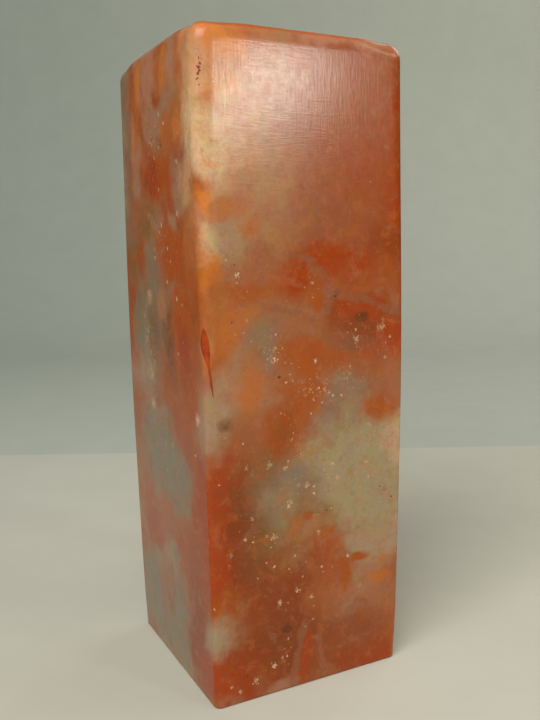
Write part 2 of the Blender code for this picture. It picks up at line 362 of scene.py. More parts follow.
# The harder grains that the polish leaves a little proud. On each face: x or y, height and size, in
# millimetres. The wider ones are little clusters.
PALE_GRAINS = {
    "front": [
        (-11.9, 59.2, 0.4), (-11.7, 58.5, 0.3), (-10.2, 56.7, 0.8), (-10.3, 55.7, 0.4), (-9.3, 61.5, 0.2),
        (0.4, 55.4, 0.7), (-0.7, 54.8, 0.3), (0.5, 53.5, 0.3), (-9.0, 51.0, 0.5), (-9.5, 49.5, 0.4),
        (-5.0, 49.0, 0.35), (-6.5, 47.4, 0.2), (-5.9, 47.1, 0.2), (-5.4, 46.8, 0.2), (-5.2, 45.7, 0.9),
        (-3.7, 45.3, 0.2), (-2.8, 45.1, 0.2), (0.8, 45.2, 0.6), (-3.0, 43.7, 0.3), (-3.6, 42.7, 0.45),
        (-2.6, 42.8, 0.35), (-1.2, 42.4, 0.25), (0.0, 42.8, 0.3), (0.2, 42.0, 0.2), (1.3, 41.5, 0.35),
        (2.2, 41.3, 0.6), (2.9, 40.8, 0.5), (3.5, 40.3, 0.4), (4.0, 42.0, 0.3), (5.3, 42.4, 0.5),
        (5.8, 42.2, 0.4), (6.2, 44.0, 0.4), (4.8, 40.2, 0.4), (0.5, 40.0, 0.5), (1.8, 39.5, 0.3),
        (0.1, 38.2, 0.3), (-4.4, 38.7, 0.3), (-12.3, 36.5, 0.5), (-9.9, 35.4, 0.3), (-2.6, 35.9, 0.3),
        (7.2, 32.9, 0.4), (7.1, 48.9, 0.5), (5.8, 48.6, 0.2), (12.7, 47.6, 0.5), (11.9, 44.8, 0.5),
        (7.4, 68.3, 0.2), (9.4, 68.3, 0.2), (-13.3, 30.5, 0.35), (-3.8, 31.4, 0.6), (-3.4, 32.2, 0.35),
        (3.4, 30.9, 0.6), (8.9, 30.4, 0.4), (4.3, 28.8, 0.8), (8.2, 29.1, 0.4), (9.2, 28.3, 0.5),
        (-1.9, 28.7, 0.6), (-0.6, 28.5, 0.8), (0.5, 28.2, 0.5), (-2.0, 27.6, 0.5), (-3.1, 26.6, 0.8),
        (-3.4, 26.0, 0.5), (0.5, 27.2, 0.5), (7.9, 27.0, 0.4), (0.8, 24.1, 0.7), (3.2, 24.7, 0.3),
        (4.4, 24.7, 0.3), (-5.6, 22.2, 1.0), (-6.7, 22.5, 0.5), (-9.8, 22.6, 0.5), (-8.7, 22.1, 0.4),
        (1.2, 21.7, 0.7), (-6.1, 20.9, 0.3), (-6.8, 18.9, 0.35), (-5.6, 18.1, 0.5), (-2.5, 19.0, 0.5),
        (-3.4, 17.3, 0.4), (-8.1, 17.0, 0.3), (1.7, 16.6, 0.4), (1.9, 15.8, 0.4), (-1.3, 15.8, 0.4),
        (5.9, 17.3, 0.5), (-2.1, 14.0, 0.8), (-14.3, 14.1, 0.4), (-4.9, 12.8, 0.7), (-3.6, 12.6, 0.3),
        (0.0, 12.7, 0.7), (0.4, 11.2, 0.4), (0.3, 9.3, 0.4), (-0.9, 8.5, 0.3), (-3.6, 7.4, 0.4),
        (-4.2, 6.1, 0.3), (-4.5, 4.9, 0.5), (-3.8, 4.9, 0.35), (-5.8, 4.0, 0.8), (-12.1, 2.7, 0.5),
        (-10.9, 1.8, 0.6), (-8.6, 2.5, 0.9),
    ],
    "left": [
        (-2.6, 77.4, 0.6), (-4.3, 76.0, 0.6), (1.2, 74.3, 0.5), (0.9, 75.6, 0.3), (-0.4, 74.3, 0.4),
        (-2.2, 73.3, 0.5), (-0.4, 72.0, 0.5), (-9.2, 74.1, 0.4), (-8.5, 70.8, 0.7), (-1.6, 67.9, 0.5),
        (-8.1, 64.4, 0.7), (-2.1, 63.2, 0.6), (-1.1, 62.3, 0.4), (1.0, 60.0, 0.5), (1.0, 58.8, 0.7),
        (-4.1, 60.1, 0.5), (-5.0, 58.4, 0.4), (-3.5, 55.7, 0.6), (-6.8, 53.6, 0.6), (-8.6, 52.9, 0.5),
        (-6.5, 46.4, 0.5), (4.6, 38.1, 0.7), (-12.4, 38.6, 0.6), (-11.1, 33.7, 0.5), (0.1, 29.2, 0.4),
    ],
}
BUFF_GRAINS = {
    "front": [
        (-4.1, 47.2, 0.4), (6.2, 43.0, 0.5), (-2.9, 35.0, 0.6), (9.4, 35.6, 0.8), (9.4, 34.0, 0.9),
        (7.2, 47.6, 1.0), (11.3, 48.9, 1.2), (-6.2, 32.1, 0.9), (-1.5, 32.9, 0.8), (2.0, 30.3, 0.7),
        (-9.5, 32.1, 0.6), (1.9, 31.8, 1.1), (-8.8, 25.3, 0.6), (7.7, 22.2, 0.9), (-11.8, 20.9, 0.6),
        (3.4, 16.2, 0.3), (7.8, 12.5, 0.9),
    ],
    "left": [
        (0.5, 69.3, 0.4), (2.8, 64.7, 0.5), (4.2, 53.8, 1.3), (6.6, 50.6, 0.9), (5.5, 48.5, 0.9),
        (6.2, 47.2, 1.0), (4.5, 45.4, 0.8), (3.2, 44.2, 1.0), (5.3, 42.2, 1.4), (3.6, 39.1, 0.6),
        (3.7, 32.0, 0.6), (-0.1, 33.0, 0.8), (-2.7, 33.3, 0.7),
    ],
}
DARK_GRAINS = {
    "front": [
        (-10.6, 57.9, 0.3), (7.9, 50.1, 0.8), (3.9, 53.5, 0.5), (-4.6, 43.5, 0.5), (-12.3, 37.8, 0.4),
        (-1.9, 35.8, 0.3), (6.8, 36.1, 0.2), (2.5, 24.5, 0.3), (13.2, 24.7, 0.3), (11.2, 26.5, 0.3),
        (-4.1, 8.8, 0.8), (-9.8, 3.7, 0.4), (-12.0, 25.0, 0.4), (-11.1, 50.9, 0.4),
    ],
    "left": [(-3.1, 73.4, 0.4), (0.5, 74.6, 0.3), (-1.1, 72.9, 0.3), (-4.3, 70.4, 0.3), (-4.8, 70.4, 0.25)],
}
RUST_GRAINS = {
    "front": [
        (7.8, 46.4, 0.5), (-7.9, 41.1, 0.3), (-14.35, 81.9, 0.30), (-14.25, 81.3, 0.40), (-14.4, 80.9, 0.45),
        (-14.3, 80.5, 0.30), (-14.45, 80.2, 0.50), (-14.55, 79.6, 0.35), (-14.4, 78.9, 0.20),
        (-0.4, 24.1, 0.5),
    ],
    "left": [],
}

# Slivers of rust on the front face: x, height, length, width and lean in degrees from upright.
RUST_SLIVERS = [
    (-14.55, 47.9, 5.2, 0.9, 5),
    (-14.12, 44.2, 5.6, 0.34, 7),
]

PALE_TONES = ((0.34, 0.16, 0.075), (0.60, 0.38, 0.23))
BUFF_TONES = ((0.30, 0.16, 0.075), (0.42, 0.26, 0.14))
DARK_TONES = ((0.07, 0.020, 0.003), (0.14, 0.044, 0.008))
RUST_TONES = ((0.25, 0.022, 0.002), (0.40, 0.052, 0.004))

# Where fine crumbs of pale mineral lie close together: mineral, x or y, height, half width, half height,
# lean and strength.
FRONT_CRUMBS = [
    ("pale_pink", -9.4, 58.0, 3.0, 3.6, 0, 0.5),
    ("pale_pink", 0.2, 54.8, 2.0, 1.8, 0, 0.6),
    ("cream", -5.3, 46.6, 2.6, 1.8, 24, 0.9),
    ("cream", 3.0, 41.6, 5.2, 2.0, -14, 0.8),
    ("pale_pink", 7.4, 47.6, 1.8, 2.0, 0, 0.9),
    ("pale_pink", 11.6, 47.8, 2.4, 2.6, 0, 0.9),
    ("pale_pink", 9.4, 34.0, 3.2, 4.0, 0, 0.25),
    ("pale_pink", 0.0, 29.4, 8.0, 3.6, -8, 0.5),
    ("pale_pink", -5.2, 21.6, 3.6, 2.6, 0, 0.5),
    ("tan", 0.4, 14.6, 6.0, 5.4, 0, 0.4),
    ("tan", -5.0, 6.0, 7.0, 5.6, 0, 0.35),
]
LEFT_CRUMBS = [
    ("cream", -0.6, 74.4, 4.4, 4.6, 0, 0.8),
    ("pale_pink", -3.0, 61.4, 4.6, 5.0, 0, 0.7),
    ("cream", 4.4, 48.2, 3.4, 7.4, 0, 0.8),
    ("pale_pink", -8.2, 53.4, 2.6, 2.4, 0, 0.8),
    ("pale_pink", 0.4, 33.0, 5.6, 4.0, 0, 0.6),
]

# A stain reaches this share of its half size into the stone, and this much more in millimetres. It fades
# out round EDGE_SHARE of the way in from its outer end.
STAIN_DEPTH_SHARE = 0.7
STAIN_DEPTH = 1.4
EDGE_SHARE = 0.36
VEIN_SOFTNESS = 0.9

# Noises that move or tint things: scale per millimetre, detail, roughness and reach along each axis.
CLOUD_DRIFT = (0.13, 5.0, 0.6, (9.0, 9.0, 9.0))
FAR_DRIFT = (0.13, 5.0, 0.6, (7.0, 7.0, 7.0))
NEAR_DRIFT = (0.5, 3.0, 0.55, (1.6, 1.6, 1.6))
FRAYING = (0.4, 6.0, 0.62, (2.4, 2.4, 2.4))
TINT_DRIFT = (0.40, 4.0, 0.6, (0.3, 0.5, 0.8))

# Other noises: scale per millimetre, or per metre on the paper, detail and roughness.
FIRST_CLOUD_NOISE = (0.06, 3.0, 0.5)
LATER_CLOUD_NOISE = (0.09, 4.0, 0.5)
FEATHER_NOISE = (0.50, 9.0, 0.72)
GRIT_NOISE = (1.9, 6.0, 0.75)
SPECKLE_NOISE = (1.8, 6.0, 0.72)
DULLNESS_NOISE = (0.9, 4.0, 0.65)
GRAIN_NOISE = (0.9, 3.0, 0.6)
PAPER_NOISE = (60.0, 5.0, 0.6)

# Minerals that a noise lays over the colour: mineral, where the noise starts to show it, where it shows
# fully, and its strength there.
FIRST_CLOUD = ("pink_grey", 0.38, 0.58, 1.0)
LATER_CLOUDS = [("red_brown", 0.42, 0.60, 1.0), ("orange", 0.48, 0.64, 1.0), ("pale_grey", 0.50, 0.66, 0.8)]
FEATHERS = [("tan_orange", 0.50, 0.72, 0.60), ("brown", 0.52, 0.74, 0.40), ("lavender", 0.52, 0.70, 0.35)]
WARM_GRIT = ("deep_red", 0.55, 0.75, 0.15)
DARK_GRIT = ("brown", 0.66, 0.72, 0.45)
CRUMB_START = 0.56
CRUMB_END = 0.70
RIM_STAIN = ("deep_orange", HEIGHT / MM - 0.8, HEIGHT / MM - 0.25, 0.85)

# Shading that follows a noise: its value where the noise is 0, and its growth from there to 1.
SPECKLE_SHADE = (0.8, 0.4)
STONE_ROUGHNESS = (0.15, 0.12)
PAPER_SHADE = (0.94, 0.12)

# The marks of polishing run up and across. Each is a noise with these scales along the three axes.
UPRIGHT_MARKS = (3.6, 3.6, 0.5)
LEVEL_MARKS = (0.6, 0.6, 4.0)
MARK_NOISE = (1.0, 2.0, 0.5)
MARK_STRENGTH = 0.22
MARK_DEPTH = 0.028 * MM

STONE_IOR = 1.38
SUBSURFACE_WEIGHT = 0.25
SUBSURFACE_RADIUS = (1.0, 0.45, 0.25)
SUBSURFACE_SCALE = 0.7 * MM

# A grain goes from its darker to its lighter tone between these values of its noise.
GRAIN_MIX = (0.35, 0.65)
GRAIN_ROUGHNESS = 0.4
GRAIN_IOR = 1.35
PAPER_ROUGHNESS = 0.9
PAPER_SPECULAR = 0.2

# The studio, seen from above: azimuth 0 is straight in front of the wide face, and 90 is to its right.
CAMERA_PLACE = Vector((-50.9, -102.6, 59.5)) * MM
CAMERA_HEADING = math.radians(62.8)
CAMERA_PITCH = math.radians(-7.91)
CAMERA_ROLL = math.radians(-1.06)
CAMERA_LENS = 39.14
CAMERA_SENSOR = 36.0
CAMERA_CLIP_START = 5.0 * MM
SEAM_DISTANCE = 230.0 * MM
WALL_DISTANCE = 700.0 * MM
WALL_HEIGHT = 1.5
COVE_RADIUS = 250.0 * MM
COVE_STEPS = 12
STAGE_REACH = 2.0
WALL_REACH = 0.34
# The sheets' colours change across this distance to each side. Each sheet is lighter on its right than on its
# left, and that change is painted light.
PAPER_SHIFT = 0.22
FLOOR_COLOURS_LIT_RIGHT = ((0.50, 0.50, 0.44), (0.58, 0.57, 0.47))
WALL_COLOURS_LIT_RIGHT = ((0.41, 0.455, 0.40), (0.50, 0.52, 0.45))

# The lamps: name, azimuth, elevation, distance, width, height, power, colour and slant. Lengths are in
# metres, and a slant turns a lamp about its own axis. They face a place three quarters up the wide face.
LAMP_TARGET = Vector((0.0, -MIDDLE_WIDTH / 2, HEIGHT * 0.75))
LAMPS = [
    ("key_lamp", -49.0, 42.0, 0.6, 0.50, 0.45, 4.1, (1.0, 0.97, 0.92), 0.0),
    ("fill_lamp", -42.0, 62.0, 1.2, 1.20, 1.20, 2.1, (1.0, 0.99, 0.95), 0.0),
    ("side_lamp", 108.0, 34.0, 0.7, 0.40, 0.30, 0.80, (1.0, 0.99, 0.96), 0.0),
    ("sheen_lamp", 27.0, 12.9, 0.6, 0.080, 0.042, 0.61, (1.0, 1.0, 0.88), 27.0),
    ("corner_lamp", 54.0, 27.0, 0.6, 0.24, 0.10, 0.45, (1.0, 0.95, 0.92), 0.0),
    ("edge_lamp", -68.0, 14.0, 0.6, 0.04, 0.03, 0.04, (1.0, 0.97, 0.92), 0.0),
]
WORLD_COLOUR = (1.0, 1.0, 0.90, 1.0)
WORLD_STRENGTH = 0.09


def limited(value, lowest, highest):
    return min(max(value, lowest), highest)


def ease(share):
    """A smooth rise from 0 to 1 as share goes from 0 to 1."""
    share = limited(share, 0.0, 1.0)
    return share * share * (3.0 - 2.0 * share)


def upright_radius(height):
    """The radius of the upright edges at a height, as in the part."""
    top_wear = ease(1.0 - (HEIGHT - height) / TOP_CORNER_REACH)
    seal_wear = ease(1.0 - height / SEAL_CORNER_REACH)
    top_growth = (TOP_CORNER_RADIUS - UPRIGHT_EDGE_RADIUS) * top_wear
    seal_growth = (SEAL_CORNER_RADIUS - UPRIGHT_EDGE_RADIUS) * seal_wear
    return UPRIGHT_EDGE_RADIUS + top_growth + seal_growth


def half_side(height):
    """Half the width, and half the depth, at a height."""
    along = 2.0 * height / HEIGHT - 1.0
    return MIDDLE_WIDTH / 2 + SIDE_TAPER * along - SIDE_CROWN * along * along


def edge_turn_radius(nearness):
    """The radius of the top edge, which grows to the radius of the worn corners near them."""
    full = upright_radius(HEIGHT) - SHARPEST_CORNER
    return TOP_EDGE_RADIUS + (full - TOP_EDGE_RADIUS) * nearness


def outline(height, inset_at):
    """The closed outline at a height, as (x, y, nearness to a corner), taken in by inset_at(nearness)."""
    radius = upright_radius(height)
    reach = half_side(height) - radius
    corner_radius = max(radius - inset_at(1.0), SHARPEST_CORNER)
    centres = [(reach, reach), (-reach, reach), (-reach, -reach), (reach, -reach)]
    points = []
    for quarter, (centre_x, centre_y) in enumerate(centres):
        for step in range(CORNER_STEPS + 1):
            angle = math.pi / 2 * (quarter + step / CORNER_STEPS)
            x = centre_x + corner_radius * math.cos(angle)
            y = centre_y + corner_radius * math.sin(angle)
            points.append((x, y, 1.0))
        next_x, next_y = centres[(quarter + 1) % 4]
        outward_x = math.cos(math.pi / 2 * (quarter + 1))
        outward_y = math.sin(math.pi / 2 * (quarter + 1))
        for step in range(1, SIDE_STEPS):
            share = step / SIDE_STEPS
            off_middle = abs(2.0 * share - 1.0)
            nearness = ease((off_middle - RIM_WEAR_START) / (1.0 - RIM_WEAR_START))
            outward = radius - inset_at(nearness)
            x = centre_x + (next_x - centre_x) * share + outward_x * outward
            y = centre_y + (next_y - centre_y) * share + outward_y * outward
            points.append((x, y, nearness))
    return points


def level_ring(height, inset=0.0):
    return [(x, y, height) for x, y, nearness in outline(height, lambda nearness: inset)]


def seal_end_rings():
    rings = []
    for step in range(SEAL_EDGE_STEPS + 1):
        angle = math.pi / 2 * step / SEAL_EDGE_STEPS
        height = SEAL_EDGE_RADIUS * (1.0 - math.cos(angle))
        rings.append(level_ring(height, SEAL_EDGE_RADIUS * (1.0 - math.sin(angle))))
    return rings


def body_rings():
    top = HEIGHT - upright_radius(HEIGHT)
    rings = []
    for step in range(1, BODY_RINGS + 1):
        rings.append(level_ring(SEAL_EDGE_RADIUS + (top - SEAL_EDGE_RADIUS) * step / BODY_RINGS))
    return rings


def top_edge_rings():
    rings = []
    for step in range(1, TOP_EDGE_STEPS + 1):
        angle = math.pi / 2 * step / TOP_EDGE_STEPS
        points = outline(HEIGHT, lambda nearness: edge_turn_radius(nearness) * (1.0 - math.cos(angle)))
        ring = []
        for x, y, nearness in points:
            ring.append((x, y, HEIGHT - edge_turn_radius(nearness) * (1.0 - math.sin(angle))))
        rings.append(ring)
    return rings


def face_rings(rim):
    """The rings of a flat end face inside its rim, each smaller than the last."""
    rings = []
    for step in range(1, END_FACE_RINGS + 1):
        share = 1.0 - step / (END_FACE_RINGS + 1)
        rings.append([(x * share, y * share, height) for x, y, height in rim])
    return rings


def bridge(mesh, lower, upper):
    """Joins two rings with a band of four-sided faces."""
    for index, corner in enumerate(lower):
        after = (index + 1) % len(lower)
        mesh.faces.new((corner, lower[after], upper[after], upper[index]))


def close_end(mesh, loop, tip):
    """Closes a ring with faces that meet at a tip."""
    peak = mesh.verts.new(tip)
    for index, corner in enumerate(loop):
        mesh.faces.new((corner, loop[(index + 1) % len(loop)], peak))


def lapping_relief(point):
    """How far the polished surface lies below the true face at a point."""
    wave = noise.noise(point / LAPPING_LENGTH) * 0.5 + 0.5
    return POLISH_DEPTH + LAPPING_DEPTH * limited(wave, 0.0, 1.0)


def stone_piece(material):
    """The fine surface of the block: the part's shape, lapped a little uneven, closed and inside its box."""
    mesh = bmesh.new()
    rings = seal_end_rings()
    seal_rings = list(reversed(face_rings(rings[0])))
    rings = seal_rings + rings + body_rings() + top_edge_rings()
    rings += face_rings(rings[-1])
    loops = [[mesh.verts.new(point) for point in ring] for ring in rings]
    for lower, upper in zip(loops, loops[1:]):
        bridge(mesh, lower, upper)
    close_end(mesh, list(reversed(loops[0])), (0.0, 0.0, 0.0))
    close_end(mesh, loops[-1], (0.0, 0.0, HEIGHT))
    mesh.normal_update()
    shifts = [(corner, corner.normal * lapping_relief(corner.co)) for corner in mesh.verts]
    for corner, shift in shifts:
        if corner.co.z > SEAL_EDGE_RADIUS:
            corner.co -= shift
    data = bpy.data.meshes.new("stone_surface")
    mesh.to_mesh(data)
    mesh.free()
    data.shade_smooth()
    return placed_piece("polished_block", data, material)


def placed_piece(name, data, material):
    """A piece that rides on the stone's body."""
    data.materials.append(material)
    piece = bpy.data.objects.new(name, data)
    bpy.context.scene.collection.objects.link(piece)
    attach(piece, BODY)
    return piece


def point_below(face, along, height, depth):
    """The point some depth below a face, which turns round the upright edges as the block does."""
    if face == "top":
        return (along, height, HEIGHT - depth)
    radius = upright_radius(height)
    half = half_side(height)
    past_flat = limited(abs(along) - (half - radius), 0.0, radius)
    out = half - radius + math.sqrt(radius * radius - past_flat * past_flat) - depth
    places = {"front": (along, -out), "back": (along, out), "left": (-out, along), "right": (out, along)}
    return (*places[face], height)


def add_grain(mesh, chance, face, along, height, size, slimness, turn):
    """One ragged grain: a buried rim, a shoulder and a middle that are proud, and a root below."""
    waves = []
    for count in GRAIN_WAVES:
        tall = chance.uniform(*GRAIN_RAGGEDNESS) / count
        waves.append((count, tall, chance.uniform(0.0, math.tau)))
    rim = []
    shoulder = []
    for step in range(GRAIN_SIDES):
        angle = math.tau * step / GRAIN_SIDES
        ragged = 1.0 + sum(tall * math.cos(count * angle + phase) for count, tall, phase in waves)
        lengthways = size / 2.0 * ragged * math.cos(angle)
        sideways = size / 2.0 * ragged * math.sin(angle) * slimness
        shift_along = lengthways * math.cos(turn) - sideways * math.sin(turn)
        shift_up = lengthways * math.sin(turn) + sideways * math.cos(turn)
        rim.append(mesh.verts.new(point_below(face, along + shift_along, height + shift_up, GRAIN_RIM_DEPTH)))
        shift_along *= GRAIN_SHOULDER_SHARE
        shift_up *= GRAIN_SHOULDER_SHARE
        place = point_below(face, along + shift_along, height + shift_up, GRAIN_SHOULDER_DEPTH)
        shoulder.append(mesh.verts.new(place))
    bridge(mesh, rim, shoulder)
    close_end(mesh, shoulder, point_below(face, along, height, GRAIN_TOP_DEPTH))
    close_end(mesh, list(reversed(rim)), point_below(face, along, height, GRAIN_ROOT_DEPTH))


def add_sliver(mesh, along, height, length, width, lean):
    """A smooth sliver in the front face, in millimetres, drawn out to a point at both ends."""
    turn = math.radians(lean)
    loops = []
    for share, depth in SLIVER_RINGS:
        loop = []
        for step in range(SLIVER_SIDES):
            angle = math.tau * step / SLIVER_SIDES
            lengthways = length / 2.0 * share * math.cos(angle)
            sideways = width / 2.0 * share * math.sin(angle) * abs(math.sin(angle))
            shift_along = sideways * math.cos(turn) - lengthways * math.sin(turn)
            shift_up = sideways * math.sin(turn) + lengthways * math.cos(turn)
            place = point_below("front", (along + shift_along) * MM, (height + shift_up) * MM, depth)
            loop.append(mesh.verts.new(place))
        loops.append(loop)
    for outer, inner in zip(loops, loops[1:]):
        bridge(mesh, outer, inner)
    close_end(mesh, loops[-1], point_below("front", along * MM, height * MM, GRAIN_TOP_DEPTH))
    close_end(mesh, list(reversed(loops[0])), point_below("front", along * MM, height * MM, GRAIN_ROOT_DEPTH))


def add_fleck(mesh, chance, face, along, height, size):
    """A fleck of some size in millimetres: one grain, and round a wide one a few smaller ones."""
    grains = [(0.0, 0.0, size)]
    if size > CLUSTER_FROM:
        grains = [(0.0, 0.0, size * CLUSTER_MIDDLE_SHARE)]
        for grain in range(CLUSTER_GRAINS):
            angle = math.tau * (grain + chance.random()) / CLUSTER_GRAINS
            away = size * chance.uniform(*CLUSTER_AWAY_SHARES)
            grain_size = size * chance.uniform(*CLUSTER_GRAIN_SHARES)
            grains.append((away * math.cos(angle), away * math.sin(angle), grain_size))
    for shift_along, shift_up, grain_size in grains:
        slimness = chance.uniform(*GRAIN_SLIMNESS)
        turn = chance.uniform(0.0, math.tau)
        add_grain(mesh, chance, face, (along + shift_along) * MM, (height + shift_up) * MM, grain_size * MM,
                  slimness, turn)


def add_dust(mesh, chance, face, along, height):
    """One speck of dust somewhere round a fleck."""
    dust_along = limited(along + chance.gauss(0.0, DUST_SPREAD), -DUST_REACH, DUST_REACH)
    dust_height = limited(height + chance.gauss(0.0, DUST_SPREAD), *DUST_HEIGHTS)
    add_fleck(mesh, chance, face, dust_along, dust_height, chance.uniform(*DUST_SIZES))


def scatter_flecks(mesh, chance, face, count):
    """Flecks at random places on a face."""
    lowest, highest = SCATTER_HEIGHTS
    if face == "top":
        lowest, highest = -SCATTER_REACH, SCATTER_REACH
    for fleck in range(count):
        size = SCATTER_SMALLEST + SCATTER_GROWTH * chance.random() ** SCATTER_BIAS
        along = chance.uniform(-SCATTER_REACH, SCATTER_REACH)
        add_fleck(mesh, chance, face, along, chance.uniform(lowest, highest), size)


def grains_piece(name, flecks, material, dusted, scattered, slivers=()):
    """The grains of one mineral: the listed ones, dust round them, slivers, and some over the other faces."""
    chance = random.Random(SCATTER_SEED + len(name))
    mesh = bmesh.new()
    for face, rows in flecks.items():
        for along, height, size in rows:
            add_fleck(mesh, chance, face, along, height, size)
            for speck in range(dusted):
                add_dust(mesh, chance, face, along, height)
    for sliver in slivers:
        add_sliver(mesh, *sliver)
    scatter_flecks(mesh, chance, "right", scattered)
    scatter_flecks(mesh, chance, "back", scattered)
    scatter_flecks(mesh, chance, "top", scattered // SCATTER_TOP_DIVISOR)
    bmesh.ops.recalc_face_normals(mesh, faces=mesh.faces)
    data = bpy.data.meshes.new(name)
    mesh.to_mesh(data)
    mesh.free()
    data.shade_smooth()
    return placed_piece(name, data, material)


class Wiring:
    """Adds the nodes of one material and links them."""

    def __init__(self, name):
        self.material = bpy.data.materials.new(name)
        self.material.use_nodes = True
        self.tree = self.material.node_tree
        self.shader = self.tree.nodes["Principled BSDF"]

    def feed(self, socket, value):
        if isinstance(value, bpy.types.NodeSocket):
            self.tree.links.new(value, socket)
        else:
            socket.default_value = value

    def node(self, kind, sockets=None, **settings):
        made = self.tree.nodes.new(kind)
        for name, value in settings.items():
            setattr(made, name, value)
        for name, value in (sockets or {}).items():
            self.feed(made.inputs[name], value)
        return made

    def math(self, operation, first, second=0.0):
        made = self.node("ShaderNodeMath", {0: first, 1: second}, operation=operation)
        return made.outputs[0]

    def vector(self, operation, first, second):
        made = self.node("ShaderNodeVectorMath", {0: first, 1: second}, operation=operation)
        return made.outputs[0]

    def scaled(self, vector, factors):
        return self.vector("MULTIPLY", vector, factors)

    def noise(self, vector, scale, detail, roughness):
        sockets = {"Vector": vector, "Scale": scale, "Detail": detail, "Roughness": roughness}
        return self.node("ShaderNodeTexNoise", sockets)

    def grey_noise(self, vector, *shape):
        return self.noise(vector, *shape).outputs[0]

    def noise_parts(self, vector, *shape):
        """Three noises that have nothing to do with one another."""
        colour = self.noise(vector, *shape).outputs["Color"]
        return list(self.node("ShaderNodeSeparateColor", {0: colour}).outputs)

    def drift(self, vector, scale, detail, roughness, reach):
        """A noise along each axis, which goes from minus half of its reach to plus half of it."""
        colour = self.noise(vector, scale, detail, roughness).outputs["Color"]
        return self.scaled(self.vector("SUBTRACT", colour, (0.5, 0.5, 0.5)), reach)

    def object_millimetres(self):
        """The place on the object in millimetres."""
        return self.scaled(self.node("ShaderNodeTexCoord").outputs["Object"], (1.0 / MM,) * 3)

    def ramp(self, value, start, growth):
        return self.math("ADD", self.math("MULTIPLY", value, growth), start)

    def rise(self, value, start, end, top=1.0):
        """A smooth rise from 0 to top as value goes from start to end."""
        sockets = {"Value": value, "From Min": start, "From Max": end, "To Min": 0.0, "To Max": top}
        made = self.node("ShaderNodeMapRange", sockets, interpolation_type="SMOOTHSTEP")
        return made.outputs["Result"]

    def mix(self, factor, under, over, blend="MIX"):
        made = self.node("ShaderNodeMix", data_type="RGBA", blend_type=blend)
        colours = [socket for socket in made.inputs if socket.type == "RGBA"]
        self.feed(made.inputs["Factor"], factor)
        self.feed(colours[0], under)
        self.feed(colours[1], over)
        return next(socket for socket in made.outputs if socket.type == "RGBA")

    def shaded(self, colour, value, start, growth):
        """A colour that gets lighter with a value: times start, plus growth times the value."""
        shade = self.ramp(value, start, growth)
        grey = self.node("ShaderNodeCombineColor", {0: shade, 1: shade, 2: shade}).outputs[0]
        return self.mix(1.0, colour, grey, "MULTIPLY")


def opaque(colour):
    return (*colour, 1.0)


def covered(wires, colour, value, mineral, start, end, strength):
    """A colour with a mineral over it where a value is high."""
    return wires.mix(wires.rise(value, start, end, strength), colour, opaque(MINERALS[mineral]))


class Stains:
    """Lays soft-edged patches of minerals over a colour, one after the other."""

    def __init__(self, wires, colour, place):
        self.wires = wires
        self.colour = colour
        self.far = wires.vector("ADD", place, wires.drift(place, *FAR_DRIFT))
        self.near = wires.vector("ADD", place, wires.drift(place, *NEAR_DRIFT))
        frayed = wires.vector("ADD", wires.drift(place, *FRAYING), (1.0, 1.0, 1.0))
        self.frayings = list(wires.node("ShaderNodeSeparateColor", {0: frayed}).outputs)
        self.count = 0

    def patch(self, coordinates, face, along, height, half_along, half_height, lean, softness, strength):
        """Where a patch on a face lies, leaning by some degrees, with one of the three frayed edges."""
        wires = self.wires
        depth = min(half_along, half_height) * STAIN_DEPTH_SHARE + STAIN_DEPTH
        if face == "front":
            centre = (along, -half_side(height * MM) / MM, height)
            half = (half_along, depth, half_height)
            turn = (0.0, math.radians(lean), 0.0)
        else:
            centre = (-half_side(height * MM) / MM, along, height)
            half = (depth, half_along, half_height)
            turn = (math.radians(lean), 0.0, 0.0)
        place = wires.node("ShaderNodeMapping", {"Vector": coordinates}, vector_type="TEXTURE")
        place.inputs["Location"].default_value = centre
        place.inputs["Rotation"].default_value = turn
        place.inputs["Scale"].default_value = [size / (1.0 - EDGE_SHARE) for size in half]
        ball = wires.node("ShaderNodeTexGradient", {"Vector": place.outputs[0]}, gradient_type="SPHERICAL")
        fraying = self.frayings[self.count % len(self.frayings)]
        edge = wires.math("MULTIPLY", ball.outputs["Fac"], fraying)
        self.count += 1
        return wires.rise(edge, EDGE_SHARE * (1.0 - softness), EDGE_SHARE * (1.0 + softness), strength)

    def cover(self, mask, mineral):
        self.colour = self.wires.mix(mask, self.colour, opaque(MINERALS[mineral]))

    def cover_where(self, value, mineral, start, end, strength):
        self.colour = covered(self.wires, self.colour, value, mineral, start, end, strength)

    def clouds(self, face, rows):
        for mineral, along, height, half_along, half_height, lean, strength in rows:
            mask = self.patch(self.far, face, along, height, half_along, half_height, lean, 1.0, strength)
            self.cover(mask, mineral)

    def marks(self, face, rows):
        for mineral, *shape in rows:
            self.cover(self.patch(self.near, face, *shape), mineral)

    def veins(self, face, rows):
        for mineral, half_width, strength, places in rows:
            for start, end in zip(places, places[1:]):
                run, rise = end[0] - start[0], end[1] - start[1]
                along, height = (start[0] + end[0]) / 2.0, (start[1] + end[1]) / 2.0
                half_length = math.hypot(run, rise) / 2.0 + half_width
                side = 1.0 if face == "front" else -1.0
                lean = -side * math.degrees(math.atan2(rise, run))
                shape = (along, height, half_length, half_width, lean, VEIN_SOFTNESS, strength)
                self.cover(self.patch(self.near, face, *shape), mineral)

    def crumbs(self, face, rows, crumb):
        """Crumbs of a mineral where both the crumb pattern and a patch say so."""
        for mineral, along, height, half_along, half_height, lean, strength in rows:
            zone = self.patch(self.far, face, along, height, half_along, half_height, lean, 1.0, strength)
            self.cover(self.wires.math("MULTIPLY", zone, crumb), mineral)


